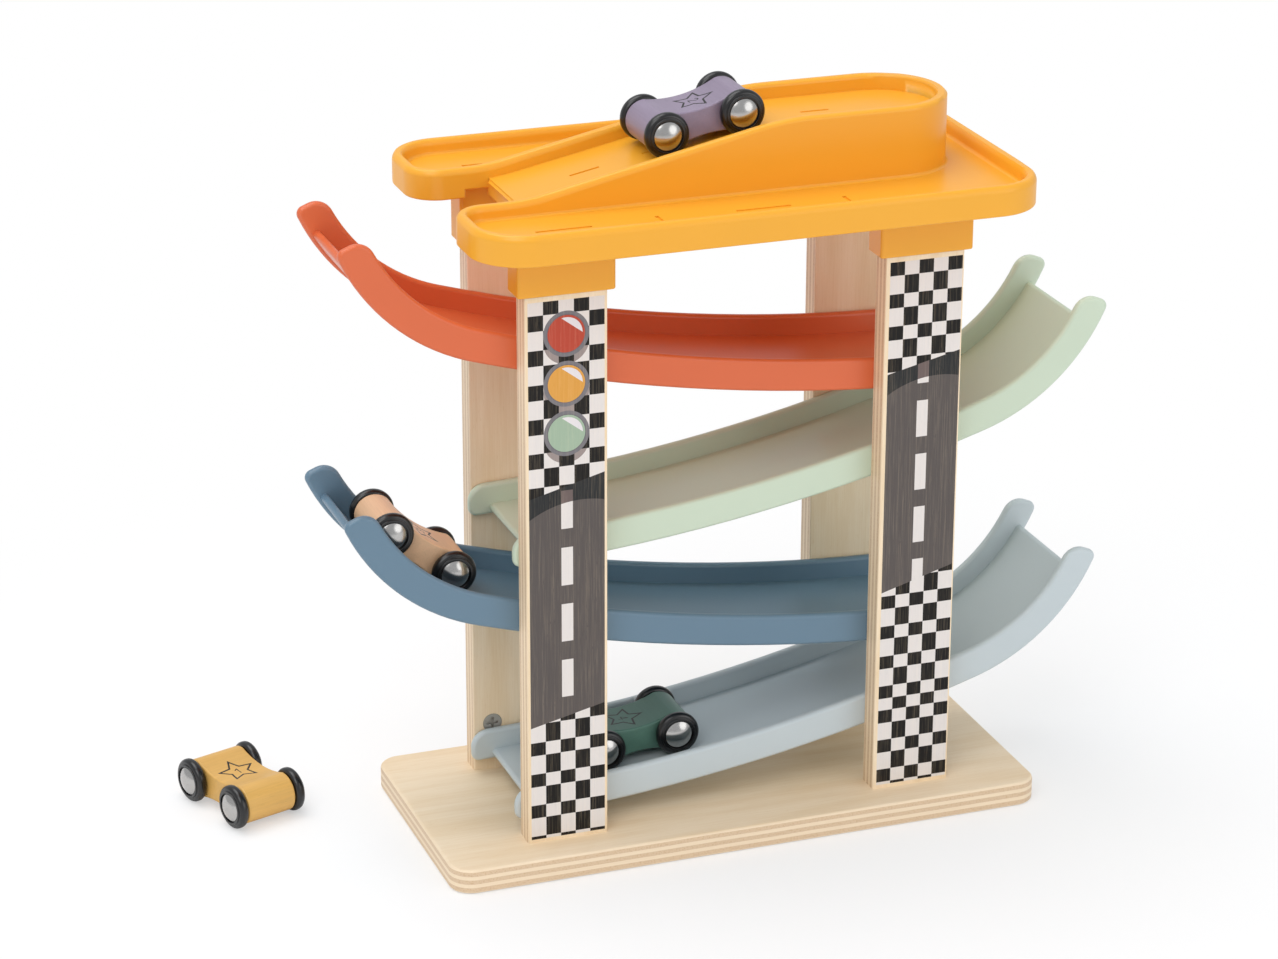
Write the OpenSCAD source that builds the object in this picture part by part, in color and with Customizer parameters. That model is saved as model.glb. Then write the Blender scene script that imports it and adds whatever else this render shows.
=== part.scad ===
// Click clack track toy: four wooden cars roll down a moulded ramp and four
// zigzag tracks that hang between two pairs of plywood posts.
// Millimetres, +Z up, origin at the middle of the base board's underside.

/* [Base board] */
// Length of the base board, along X
base_length = 270; // [250:1:300]
// Depth of the base board, along Y
base_depth = 120; // [112:1:150]
// Thickness of the base board
base_thickness = 11; // [9:0.5:14]
// Corner radius of the base board in plan
base_corner = 10; // [4:1:16]

/* [Posts] */
// Width of a post, along X
post_width = 35.6; // [32:0.2:40]
// Thickness of a post's plywood
post_thickness = 11; // [10.5:0.5:12]
// Distance between the middles of the left and right posts
post_span = 158.8; // [150:0.2:164]
// Clear distance between a front post and the post behind it
post_gap = 65.6; // [64:0.2:70]

/* [Tracks] */
// Height of the underside of the lowest track over the base board, at its middle
track_lift = 14.6; // [13:0.2:18]
// Height from one track to the next
track_pitch = 58.3; // [57:0.1:60]
// Height of a track's side walls
track_wall_height = 14; // [12:0.5:16]
// Thickness of a track's side walls
track_wall = 4; // [3:0.5:5]
// Height of the rolling floor over the bottom of the walls
track_floor_top = 5; // [4:0.5:6]
// Thickness of the rolling floor
track_floor = 3.5; // [2.5:0.5:4]
// Radius of the long shallow curve, at the bottom of the walls
track_long_radius = 796; // [780:1:830]
// Radius of the curl, at the bottom of the walls
track_curl_radius = 90; // [86:1:94]
// Slope of the track at its low end, in degrees
track_low_slope = 1.35; // [1:0.05:2.5]
// Slope where the long curve meets the curl, in degrees
track_join_slope = 17; // [16:0.5:18]
// Slope at the tip of the curl, in degrees
track_tip_slope = 68; // [64:1:72]
// Distance from the middle of the toy to the low end of a track
track_low_reach = 99; // [97:0.5:104]
// Diameter of the moulded pegs that hold a track in the posts
peg_diameter = 6; // [4:0.5:7]
// Length of those pegs
peg_length = 5; // [3:0.5:6]

/* [Top deck] */
// Length of the deck, along X
deck_length = 246; // [236:1:256]
// Depth of the deck, along Y
deck_depth = 148; // [144:1:156]
// Height of the rim's lower edge over the table
deck_bottom = 278.5; // [276:0.5:282]
// Height of the rim
deck_rim_height = 14; // [12:0.5:16]
// Thickness of the rim and of the ramp's walls
deck_wall = 5; // [4:0.5:6]
// Easing of the top edges of the rim and of the ramp's walls
deck_ease = 1.2; // [0.5:0.1:2]
// Depth of the parking lanes under the top of the rim
deck_recess = 7.5; // [5:0.5:9]
// Thickness of the moulded floors
deck_floor = 3; // [2:0.5:3.5]
// Radius of the deck's outer corners
deck_corner = 23; // [18:1:28]
// Radius of the arm's corner beside the ramp's mouth
deck_arm_corner = 14; // [10:1:18]
// Clear width of the ramp
ramp_width = 48; // [46:1:52]
// Depth of the ramp's floor under the top of its walls
ramp_depth = 6.5; // [5:0.5:8]
// Height of the ramp's high end over the rim
ramp_rise = 23; // [20:0.5:26]
// Slope of the ramp, in degrees
ramp_slope = 11.5; // [11:0.25:13]
// Radius of the two bends of the ramp
ramp_bend = 100; // [80:5:120]
// Distance from the middle of the toy to the ramp's mouth
ramp_mouth = 90; // [86:1:94]
// Distance from the middle of the toy to the ramp's high end
ramp_end = 104; // [100:1:108]
// Depth of the sleeves under the deck that the posts stand in
socket_drop = 22.5; // [16:0.5:26]
// Wall of a sleeve on its narrow sides
socket_wall_x = 3.1; // [2:0.1:4]
// Wall of a sleeve on its broad sides
socket_wall_y = 1.4; // [1.2:0.1:2]

/* [Cars] */
// Distance between a car's axles
wheelbase = 34; // [32:0.5:38]
// Diameter of a wheel
wheel_diameter = 19.5; // [18:0.5:21]
// Width of a wheel
wheel_width = 5; // [4:0.5:6]
// Width of the wooden body
body_width = 24; // [20:1:26]
// Diameter of the body's round ends
body_end_diameter = 17.2; // [15:0.2:18]
// Thickness of the body's waist
body_waist = 11.6; // [9:0.2:13]
// Diameter of an axle
axle_diameter = 3; // [2.5:0.1:4]
// Diameter of a domed axle cap
cap_diameter = 12.2; // [10:0.2:13]

/* [Fasteners] */
// Diameter of the bolts that hold the posts
bolt_diameter = 5; // [4:0.5:6]
// Diameter of a bolt's head
bolt_head_diameter = 9.6; // [8:0.2:11]
// Height of a bolt's head
bolt_head_height = 3.6; // [2.5:0.1:4]
// Diameter of the barrel nut in a post
nut_diameter = 8.6; // [8:0.2:9.2]
// Length of the barrel nut
nut_length = 9.4; // [8:0.2:9.8]
// Height of the barrel nut over the base board
nut_height = 22; // [20:0.5:24]
// Distance between the two bolts of a post
bolt_spacing = 18.2; // [17:0.2:20]

/* [Hidden] */
// Clearances
fit_gap = 0.15;         // flat faces that only meet, a post in its sleeve
peg_gap = 0.1;          // a peg in its hole, measured on the radius
rolling_gap = 0.3;      // a wheel over the floor it rolls on
axle_gap = 0.06;        // an axle in the body, measured on the radius
press_gap = 0.02;       // an axle in a wheel or a cap, on the radius
thread_gap = 0.05;      // a bolt in its barrel nut, on the radius
bolt_gap = 0.25;        // a bolt in wood, on the radius
side_gap = 0.4;         // a wheel beside the body
overrun = 1;            // how far a cutter runs past a face

// Places that follow from the sizes above
post_y = (post_gap + post_thickness) / 2;
post_x = post_span / 2;
track_half = post_gap / 2 - fit_gap;
track_inner = track_half - track_wall;
deck_floor_top = deck_bottom + deck_rim_height - deck_recess;
deck_rim_top = deck_bottom + deck_rim_height;
deck_floor_under = deck_floor_top - deck_floor;
post_top = deck_floor_under - fit_gap;
nut_z = base_thickness + nut_height;
fine = 96;
very_fine = 720;

// Long curve and curl of a track whose curl is at +X. Angles are slopes.
long_x = -track_low_reach - track_long_radius * sin(track_low_slope);
long_z = sqrt(pow(track_long_radius, 2) - pow(long_x, 2));
curl_x = long_x + (track_long_radius - track_curl_radius) * sin(track_join_slope);
curl_z = long_z - (track_long_radius - track_curl_radius) * cos(track_join_slope);
floor_low_setback = 11;
floor_tip_setback = 14;
floor_low_slope = asin((-track_low_reach + floor_low_setback - long_x) / track_long_radius);
floor_tip_slope = track_tip_slope - floor_tip_setback / track_curl_radius * 180 / PI;
wall_top_corner = 8;
wall_bottom_corner = 3.5;

// The ramp: its wall tops run level, bend up, climb, bend level again
ramp_inner = ramp_width / 2;
ramp_outer = ramp_inner + deck_wall;
ramp_lead = 10;
ramp_foot = ramp_mouth + ramp_lead;
ramp_low_x = -ramp_foot;
ramp_low_z = deck_rim_top;
ramp_high_z = deck_rim_top + ramp_rise;
bend_run = ramp_bend * sin(ramp_slope);
bend_rise = ramp_bend * (1 - cos(ramp_slope));
climb_run = (ramp_rise - 2 * bend_rise) / tan(ramp_slope);
climb_x0 = ramp_low_x + bend_run;
climb_x1 = climb_x0 + climb_run;
climb_z0 = ramp_low_z + bend_rise;
climb_z1 = ramp_high_z - bend_rise;
ramp_level_x = climb_x1 + bend_run;
ramp_round_x = ramp_end - ramp_outer;
wall_band_share = 0.9;
wall_band = min(ramp_depth, deck_recess) * wall_band_share;
mark_depth = 0.7;
mark_width = 1.6;
mark_long = 24;
mark_short = 9;
mark_dash = 13;
mark_long_x = [-82, 4];
mark_short_x = [-41, 41];
mark_slope_x = [-57.6, -26];
mark_level_x = 46;
lane_y = (deck_depth / 2 - deck_wall + ramp_outer) / 2;

// Cars
wheel_radius = wheel_diameter / 2;
wheel_inner_y = body_width / 2 + side_gap;
wheel_outer_y = wheel_inner_y + wheel_width;
end_radius = body_end_diameter / 2;
waist_share = 1.08;     // over the radius that would just touch both ends
waist_radius = waist_share * (pow(wheelbase / 2, 2) + pow(body_waist / 2, 2) - pow(end_radius, 2))
    / (2 * (end_radius - body_waist / 2));
waist_centre = body_waist / 2 + waist_radius;
waist_meets = wheelbase / 2 * waist_radius / norm([wheelbase / 2, waist_centre]);
cap_rise = 1.9;
cap_seat = 0.9;
cap_rim = 0.5;
tyre_shoulder = 1.6;
tyre_step = 0.5;
hub_recess = cap_diameter / 2 + 0.5;
axle_half = wheel_outer_y - cap_seat + cap_seat / 2;

// Where each car stands: on the ramp, on two of the tracks and on the table
ride_height = wheel_radius + rolling_gap;
lilac_hub_x = -9;
lilac_z = climb_z0 + (lilac_hub_x - climb_x0) * tan(ramp_slope)
    - (ramp_depth - ride_height) / cos(ramp_slope);
curl_ride = track_curl_radius - track_floor_top - ride_height;
long_ride = track_long_radius - track_floor_top - ride_height;
peach_slope = 37.6;
peach_reach = sqrt(pow(curl_ride, 2) - pow(wheelbase / 2, 2));
peach_x = -(curl_x + peach_reach * sin(peach_slope));
peach_z = track_z(1) + curl_z - peach_reach * cos(peach_slope);
green_x = -36;
green_reach = sqrt(pow(long_ride, 2) - pow(wheelbase / 2, 2));
green_slope = asin((green_x - long_x) / green_reach);
green_z = track_z(0) + long_z - green_reach * cos(green_slope);
yellow_x = -197.5;
yellow_y = 56.5;
yellow_heading = -71.5;

// Height of a track's underside at the middle of the toy, counted from below
function track_z(level) = base_thickness + track_lift + level * track_pitch;
// A point at slope a on an arc of radius r, in the plane of the track
function on_slope(r, a) = [r * sin(a), -r * cos(a)];
// Height of the middle of a track's wall over its own zero, where x is
// measured towards the curl
function wall_mid(x) = long_z
    - sqrt(pow(track_long_radius - track_wall_height / 2, 2) - pow(x - long_x, 2));
// Top edge of the ramp's walls
function ramp_top(x) =
    x < ramp_low_x ? ramp_low_z :
    x < climb_x0 ? ramp_low_z + ramp_bend - sqrt(pow(ramp_bend, 2) - pow(x - ramp_low_x, 2)) :
    x < climb_x1 ? climb_z0 + (x - climb_x0) * tan(ramp_slope) :
    x < ramp_level_x ? ramp_high_z - ramp_bend + sqrt(pow(ramp_bend, 2) - pow(ramp_level_x - x, 2)) :
    ramp_high_z;

CARS = ["lilac", "peach", "green", "yellow"];
CAR_PIECES = ["car_body", "front_axle", "rear_axle", "front_left_wheel", "front_right_wheel",
    "rear_left_wheel", "rear_right_wheel", "front_caps", "rear_caps"];
TRACKS = ["sky_track", "slate_track", "mint_track", "orange_track"];
POSTS = ["front_left_post", "front_right_post", "back_left_post", "back_right_post"];

TRACK_COLOURS = ["LightSteelBlue", "SlateGray", "DarkSeaGreen", "Coral"];
CAR_COLOURS = ["MediumPurple", "BurlyWood", "SeaGreen", "Goldenrod"];

// Turns a side outline drawn in x and z into a solid between y = y0 and y = y1
module side_plate(y0, y1) {
    translate([0, y1, 0]) rotate([90, 0, 0]) linear_extrude(y1 - y0) children();
}

// Sweeps a profile (radius, width) between two slopes about a level axis
module arc_sweep(centre_x, centre_z, slope0, slope1, count = very_fine) {
    translate([centre_x, 0, centre_z]) rotate([90, 0, 0]) rotate([0, 0, slope0 - 90])
        rotate_extrude(angle = slope1 - slope0, $fn = count) children();
}

// A track's wall seen end on, between radii r0 (its top) and r1
module wall_profile(y0, y1, r0, r1) {
    translate([r0, y0]) square([r1 - r0, y1 - y0]);
}

// Cutter that rounds the corner of a wall's end. edge_r is the radius of the
// edge, into is +1 where the wall lies outside that radius and -1 where it
// lies inside, and along is +1 at the uphill end and -1 at the downhill end.
module end_corner(edge_r, into, slope, along, corner) {
    mid_r = edge_r + into * corner;
    turn = asin(corner / mid_r);
    back = on_slope(1, slope + 90) * along * overrun;
    difference() {
        polygon([
            on_slope(mid_r, slope - along * turn),
            on_slope(edge_r, slope - along * turn),
            on_slope(edge_r - into * overrun, slope - along * turn),
            on_slope(edge_r - into * overrun, slope) + back,
            on_slope(mid_r * cos(turn), slope) + back,
            on_slope(mid_r * cos(turn), slope)
        ]);
        translate(on_slope(mid_r, slope - along * turn)) circle(corner, $fn = fine);
    }
}

module base_board() {
    color("Wheat") difference() {
        linear_extrude(base_thickness) rounded_rect(base_length, base_depth, base_corner);
        each_bolt() {
            translate([0, 0, -overrun])
                cylinder(r = bolt_diameter / 2 + bolt_gap, h = base_thickness + 2 * overrun, $fn = fine);
            translate([0, 0, -overrun])
                cylinder(r = bolt_head_diameter / 2 + bolt_gap,
                    h = bolt_head_height + 2 * bolt_gap + overrun, $fn = fine);
        }
    }
}

module rounded_rect(length, depth, corner) {
    square([length - 2 * corner, depth], center = true);
    square([length, depth - 2 * corner], center = true);
    for (x = [-1, 1], y = [-1, 1])
        translate([x * (length / 2 - corner), y * (depth / 2 - corner)]) circle(corner, $fn = fine);
}

// Repeats its children at the eight bolts
module each_bolt() {
    for (x = [-1, 1], y = [-1, 1], s = [-1, 1])
        translate([x * post_x + s * bolt_spacing / 2, y * post_y, 0]) children();
}

// One post. side_x and side_y say which corner of the toy it stands at.
module post(side_x, side_y) {
    color("BurlyWood") difference() {
        translate([side_x * post_x - post_width / 2, side_y * post_y - post_thickness / 2, base_thickness])
            cube([post_width, post_thickness, post_top - base_thickness]);
        for (s = [-1, 1]) translate([side_x * post_x + s * bolt_spacing / 2, side_y * post_y, 0]) {
            translate([0, 0, base_thickness - overrun])
                cylinder(r = bolt_diameter / 2 + bolt_gap,
                    h = nut_height + nut_diameter + overrun, $fn = fine);
            translate([0, 0, nut_z]) inward(side_y, nut_length + fit_gap)
                cylinder(r = nut_diameter / 2 + peg_gap, h = nut_length + fit_gap + overrun, $fn = fine);
        }
        for (level = [0:3]) translate([side_x * post_x, side_y * post_y,
            track_z(level) + wall_mid(side_x * (level % 2 == 0 ? 1 : -1) * post_x)])
            inward(side_y, peg_length + fit_gap)
                cylinder(r = peg_diameter / 2 + peg_gap, h = peg_length + fit_gap + overrun, $fn = fine);
    }
}

// Lays a hole along Y so that it starts depth below a post's inner face and
// runs out of that face
module inward(side_y, depth) {
    translate([0, side_y * (depth - post_thickness / 2), 0]) rotate([side_y * 90, 0, 0]) children();
}

module base_bolts() {
    head_z = bolt_gap;
    color("DimGray") each_bolt() difference() {
        union() {
            translate([0, 0, head_z]) cylinder(d = bolt_head_diameter, h = bolt_head_height, $fn = fine);
            translate([0, 0, head_z])
                cylinder(d = bolt_diameter, h = nut_z + nut_diameter / 2 - head_z, $fn = fine);
        }
        translate([0, 0, head_z - overrun])
            cylinder(d = bolt_diameter * 0.8, h = bolt_head_height * 0.6 + overrun, $fn = 6);
    }
}

module barrel_nuts() {
    slot_width = 1.2;
    slot_depth = 1.4;
    slot_length = nut_diameter * 0.62;
    color("Silver") for (x = [-1, 1], y = [-1, 1], s = [-1, 1])
        translate([x * post_x + s * bolt_spacing / 2, y * post_gap / 2, nut_z])
            rotate([-y * 90, 0, 0]) difference() {
                cylinder(d = nut_diameter, h = nut_length, $fn = fine);
                translate([0, 0, post_thickness / 2]) rotate([90, 0, 0])
                    cylinder(r = bolt_diameter / 2 + thread_gap, h = 2 * nut_diameter,
                        center = true, $fn = fine);
                for (turn = [0, 90]) rotate([0, 0, turn])
                    translate([-slot_length / 2, -slot_width / 2, -overrun])
                        cube([slot_length, slot_width, slot_depth + overrun]);
            }
}

// One track with its curl at +X and its underside at z = 0 over the middle
module track_body() {
    bottom = track_long_radius;
    curl = track_curl_radius;
    top = track_wall_height;
    difference() {
        for (y = [-track_half, track_inner]) {
            arc_sweep(long_x, long_z, track_low_slope, track_join_slope)
                wall_profile(y, y + track_wall, bottom - top, bottom);
            arc_sweep(curl_x, curl_z, track_join_slope, track_tip_slope)
                wall_profile(y, y + track_wall, curl - top, curl);
        }
        side_plate(-track_half - overrun, track_half + overrun) {
            translate([long_x, long_z]) {
                end_corner(bottom - top, 1, track_low_slope, -1, wall_top_corner);
                end_corner(bottom, -1, track_low_slope, -1, wall_bottom_corner);
            }
            translate([curl_x, curl_z]) {
                end_corner(curl - top, 1, track_tip_slope, 1, wall_top_corner);
                end_corner(curl, -1, track_tip_slope, 1, wall_bottom_corner);
            }
        }
    }
    lip = track_floor / 2;
    arc_sweep(long_x, long_z, floor_low_slope, track_join_slope)
        floor_profile(bottom - track_floor_top);
    arc_sweep(curl_x, curl_z, track_join_slope, floor_tip_slope)
        floor_profile(curl - track_floor_top);
    for (side = [-1, 1], x = [-1, 1])
        translate([x * post_x, side * (track_half - track_wall / 2), wall_mid(x * post_x)])
            rotate([-side * 90, 0, 0])
                cylinder(d = peg_diameter, h = track_wall / 2 + fit_gap + peg_length, $fn = fine);
    translate([long_x, 0, long_z])
        rounded_lip(on_slope(bottom - track_floor_top + lip, floor_low_slope), lip);
    translate([curl_x, 0, curl_z])
        rounded_lip(on_slope(curl - track_floor_top + lip, floor_tip_slope), lip);
}

module floor_profile(r) {
    translate([r, -track_inner - track_wall / 4])
        square([track_floor, 2 * track_inner + track_wall / 2]);
}

// The round edge where a track's floor ends
module rounded_lip(place, radius) {
    translate([place.x, 0, place.y]) rotate([90, 0, 0])
        cylinder(r = radius, h = 2 * track_inner + track_wall / 2, center = true, $fn = fine);
}

// The tracks alternate: even levels curl up at the right, odd ones at the left
module track(level) {
    color(TRACK_COLOURS[level]) translate([0, 0, track_z(level)])
        mirror([level % 2, 0, 0]) track_body();
}

// Rim seen end on: outer face at x = outer, both top edges eased
module rim_profile(outer, top, foot) {
    inner = outer - deck_wall;
    polygon([
        [inner, foot], [outer, foot], [outer, top - deck_ease],
        [outer - deck_ease, top], [inner + deck_ease, top], [inner, top - deck_ease]
    ]);
}

// A straight stretch of rim: its outer face lies at y = 0 and faces -Y
module rim_run(x0, x1, top, foot) {
    translate([x0, 0, 0]) rotate([90, 0, 90]) linear_extrude(x1 - x0)
        mirror([1, 0]) rim_profile(0, top, foot);
}

// A quarter turn of rim about its own corner
module rim_corner(radius, start) {
    rotate([0, 0, start]) rotate_extrude(angle = 90, $fn = fine)
        rim_profile(radius, deck_rim_top, deck_bottom);
}

// The front half of the outer rim: arm end, front edge and half of the right edge
module half_rim() {
    left = -deck_length / 2;
    right = deck_length / 2;
    front = -deck_depth / 2;
    translate([left + deck_arm_corner, -ramp_inner - deck_arm_corner, 0]) rim_corner(deck_arm_corner, 90);
    translate([left + deck_corner, front + deck_corner, 0]) rim_corner(deck_corner, 180);
    translate([right - deck_corner, front + deck_corner, 0]) rim_corner(deck_corner, 270);
    translate([0, front, 0]) rim_run(left + deck_corner, right - deck_corner, deck_rim_top, deck_bottom);
    translate([right, 0, 0]) rotate([0, 0, 90])
        rim_run(front + deck_corner, 0, deck_rim_top, deck_bottom);
    translate([left, 0, 0]) rotate([0, 0, -90])
        rim_run(ramp_inner + deck_arm_corner, deck_depth / 2 - deck_corner, deck_rim_top, deck_bottom);
}

// Outline of the parking lanes' floor, which ends inside the walls around it
module deck_plan() {
    inset = deck_wall / 2;
    mouth_half = ramp_inner + inset;
    arm_corner = deck_arm_corner - inset;
    difference() {
        rounded_rect(deck_length - deck_wall, deck_depth - deck_wall, deck_corner - inset);
        translate([-deck_length / 2 - overrun, -mouth_half])
            square([deck_length / 2 + overrun + ramp_round_x, 2 * mouth_half]);
        translate([ramp_round_x, 0]) circle(mouth_half, $fn = fine);
        for (side = [0, 1]) mirror([0, side])
            translate([-deck_length / 2 + inset, mouth_half]) difference() {
                translate([-overrun, -overrun]) square(arm_corner + overrun);
                translate([arm_corner, arm_corner]) circle(arm_corner, $fn = fine);
            }
    }
}

// One wall of the ramp, between y = ramp_inner and y = ramp_outer
module ramp_wall() {
    steps = 24;
    foot = deck_floor_under;
    left = -deck_length / 2 + deck_arm_corner;
    drop = wall_band / 2;
    translate([0, ramp_inner, 0]) mirror([0, 1, 0]) {
        translate([0, -deck_wall, 0])
            rim_run(left, ramp_low_x, ramp_low_z, deck_bottom);
        translate([0, -deck_wall, 0])
            rim_run(ramp_level_x, ramp_round_x, ramp_high_z, foot);
    }
    arc_sweep(ramp_low_x, ramp_low_z + ramp_bend, 0, ramp_slope)
        translate([0, -ramp_outer]) wall_profile(0, deck_wall, ramp_bend, ramp_bend + wall_band);
    translate([ramp_level_x, 0, ramp_high_z - ramp_bend]) rotate([90, 0, 0]) rotate([0, 0, 90])
        rotate_extrude(angle = ramp_slope, $fn = very_fine) translate([ramp_bend, -ramp_outer])
            mirror([1, 0]) wall_profile(0, deck_wall, 0, wall_band);
    translate([climb_x0, 0, climb_z0]) rotate([0, -ramp_slope, 0]) translate([0, ramp_outer, 0])
        mirror([0, 1, 0]) rim_run(0, climb_run / cos(ramp_slope), 0, -wall_band);
    side_plate(ramp_inner, ramp_outer) polygon(concat(
        [for (i = [0:steps]) let (x = ramp_low_x + i * (ramp_level_x - ramp_low_x) / steps)
            [x, ramp_top(x) - drop]],
        [[ramp_level_x, foot], [ramp_low_x, foot]]));
}

// The floor of the ramp, which follows the tops of its walls and ends inside
// them. Its left end turns down to the table side of the deck.
module ramp_floor() {
    half = ramp_inner + deck_wall / 2;
    under = ramp_depth + deck_floor;
    low_bend = ramp_bend + ramp_depth;
    high_bend = ramp_bend - ramp_depth;
    mouth_slope = asin((-ramp_mouth - ramp_low_x) / low_bend);
    mouth_under = ramp_low_z + ramp_bend - (low_bend + deck_floor) * cos(mouth_slope);
    arc_sweep(ramp_low_x, ramp_low_z + ramp_bend, mouth_slope, ramp_slope)
        translate([low_bend, -half]) square([deck_floor, 2 * half]);
    translate([climb_x0, 0, climb_z0]) rotate([0, -ramp_slope, 0])
        translate([0, -half, -under]) cube([climb_run / cos(ramp_slope), 2 * half, deck_floor]);
    translate([ramp_level_x, 0, ramp_high_z - ramp_bend]) rotate([90, 0, 0]) rotate([0, 0, 90])
        rotate_extrude(angle = ramp_slope, $fn = very_fine)
            translate([high_bend - deck_floor, -half]) square([deck_floor, 2 * half]);
    translate([0, 0, ramp_high_z - under]) linear_extrude(deck_floor) {
        translate([ramp_level_x, -half]) square([ramp_round_x - ramp_level_x, 2 * half]);
        translate([ramp_round_x, 0]) circle(half, $fn = fine);
    }
    translate([-ramp_mouth, -half, deck_bottom])
        cube([deck_floor, 2 * half, mouth_under + deck_floor / 2 - deck_bottom]);
}

// Sleeve under the deck that fits over the top of a post
module socket(side_x, side_y) {
    length = post_width + 2 * (socket_wall_x + fit_gap);
    depth = post_thickness + 2 * (socket_wall_y + fit_gap);
    translate([side_x * post_x, side_y * post_y, deck_bottom - socket_drop]) difference() {
        linear_extrude(socket_drop + deck_floor_under - deck_bottom + deck_floor / 2)
            rounded_rect(length, depth, socket_wall_y);
        translate([0, 0, -overrun]) linear_extrude(socket_drop + deck_floor_under - deck_bottom + overrun)
            square([post_width + 2 * fit_gap, post_thickness + 2 * fit_gap], center = true);
    }
}

// Shallow moulded dashes: long ones along each parking lane, short ones
// across it, and a dashed line up the middle of the ramp
module deck_marks() {
    for (side = [-1, 1]) translate([0, side * lane_y, deck_floor_top - mark_depth]) {
        for (x = mark_long_x) translate([x, 0, 0]) mark(mark_long, mark_width);
        for (x = mark_short_x) translate([x, 0, 0]) mark(mark_width, mark_short);
    }
    for (x = mark_slope_x) translate([x, 0, ramp_top(x)]) rotate([0, -ramp_slope, 0])
        translate([0, 0, -ramp_depth - mark_depth]) mark(mark_dash, mark_width);
    translate([mark_level_x, 0, ramp_high_z - ramp_depth - mark_depth]) mark(mark_dash, mark_width);
}

module mark(length, width) {
    translate([-length / 2, -width / 2, 0]) cube([length, width, mark_depth + overrun]);
}

module top_deck() {
    color("Orange") difference() {
        union() {
            for (side = [0, 1]) mirror([0, side, 0]) {
                half_rim();
                ramp_wall();
            }
            translate([ramp_round_x, 0, 0]) rotate([0, 0, -90]) rotate_extrude(angle = 180, $fn = fine)
                rim_profile(ramp_outer, ramp_high_z, deck_floor_under);
            translate([0, 0, deck_floor_under]) linear_extrude(deck_floor) deck_plan();
            ramp_floor();
            for (x = [-1, 1], y = [-1, 1]) socket(x, y);
        }
        deck_marks();
    }
}

// Side outline of a car's body: two round ends joined by a waist
module body_outline() {
    difference() {
        union() {
            for (x = [-1, 1]) translate([x * wheelbase / 2, 0]) circle(end_radius, $fn = fine);
            square([2 * waist_meets, body_end_diameter], center = true);
        }
        for (z = [-1, 1]) translate([0, z * waist_centre]) circle(waist_radius, $fn = 4 * fine);
    }
}

module car_body(colour) {
    color(colour) difference() {
        side_plate(-body_width / 2, body_width / 2) body_outline();
        for (x = [-1, 1]) translate([x * wheelbase / 2, 0, 0]) rotate([90, 0, 0])
            cylinder(r = axle_diameter / 2 + axle_gap, h = body_width + 2 * overrun,
                center = true, $fn = fine);
    }
}

module axle(end) {
    color("Silver") translate([end * wheelbase / 2, 0, 0]) rotate([90, 0, 0])
        cylinder(d = axle_diameter, h = 2 * axle_half, center = true, $fn = fine);
}

// A wheel: a tread with round shoulders, a stepped side and a seat for its cap
module wheel(end, side) {
    color("DimGray") translate([end * wheelbase / 2, side * wheel_inner_y, 0]) rotate([-side * 90, 0, 0])
        rotate_extrude($fn = fine) difference() {
            union() {
                translate([0, tyre_shoulder])
                    square([wheel_radius, wheel_width - 2 * tyre_shoulder - tyre_step]);
                square([wheel_radius - tyre_shoulder, wheel_width]);
                for (z = [tyre_shoulder, wheel_width - tyre_shoulder - tyre_step])
                    translate([wheel_radius - tyre_shoulder, z]) circle(tyre_shoulder, $fn = fine);
            }
            translate([-overrun, -overrun])
                square([axle_diameter / 2 + press_gap + overrun, wheel_width + 2 * overrun]);
            translate([-overrun, wheel_width - cap_seat]) square([hub_recess + overrun, cap_seat + overrun]);
            translate([-overrun - wheel_radius, -overrun])
                square([wheel_radius + overrun, wheel_width + 2 * overrun]);
        }
}

// The two domed caps pushed onto one axle
module caps(end) {
    dome_radius = (pow(cap_diameter / 2, 2) + pow(cap_rise, 2)) / (2 * cap_rise);
    color("Silver") for (side = [-1, 1])
        translate([end * wheelbase / 2, side * (wheel_outer_y - cap_seat), 0]) rotate([-side * 90, 0, 0])
            rotate_extrude($fn = fine) difference() {
                intersection() {
                    union() {
                        square([cap_diameter / 2, cap_rim]);
                        translate([0, cap_rim + cap_rise - dome_radius]) circle(dome_radius, $fn = 2 * fine);
                    }
                    square([cap_diameter / 2, cap_rim + cap_rise + overrun]);
                }
                translate([-overrun, -overrun])
                    square([axle_diameter / 2 + press_gap + overrun,
                        axle_half - wheel_outer_y + cap_seat + fit_gap + overrun]);
            }
}

// Puts a car where it stands. Its front end is at local -X.
module place(car) {
    if (car == 0) translate([lilac_hub_x, 0, lilac_z]) rotate([0, -ramp_slope, 0]) children();
    if (car == 1) translate([peach_x, 0, peach_z]) rotate([0, peach_slope, 0])
        rotate([0, 0, 180]) children();
    if (car == 2) translate([green_x, 0, green_z]) rotate([0, -green_slope, 0]) children();
    if (car == 3) translate([yellow_x, yellow_y, wheel_radius])
        rotate([0, 0, yellow_heading + 180]) children();
}

module car_piece(car, piece) {
    place(car) {
        if (piece == 0) car_body(CAR_COLOURS[car]);
        if (piece == 1) axle(-1);
        if (piece == 2) axle(1);
        if (piece == 3) wheel(-1, -1);
        if (piece == 4) wheel(-1, 1);
        if (piece == 5) wheel(1, -1);
        if (piece == 6) wheel(1, 1);
        if (piece == 7) caps(-1);
        if (piece == 8) caps(1);
    }
}

base_board();
post(-1, -1);  // front_left_post
post(1, -1);  // front_right_post
post(-1, 1);  // back_left_post
post(1, 1);  // back_right_post
base_bolts();
barrel_nuts();
top_deck();
for (level = [0:3]) track(level);
for (c = [0:3], p = [0:8]) car_piece(c, p);
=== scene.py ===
"""Click clack track toy: wooden cars, curled tracks, plywood posts and a moulded deck.

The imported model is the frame. Every piece below stands where its own node stands.
Lengths named in mm are turned into metres by MM.
"""
import math

import bmesh
import bpy
from mathutils import Matrix, Vector
from mathutils.kdtree import KDTree


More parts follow.
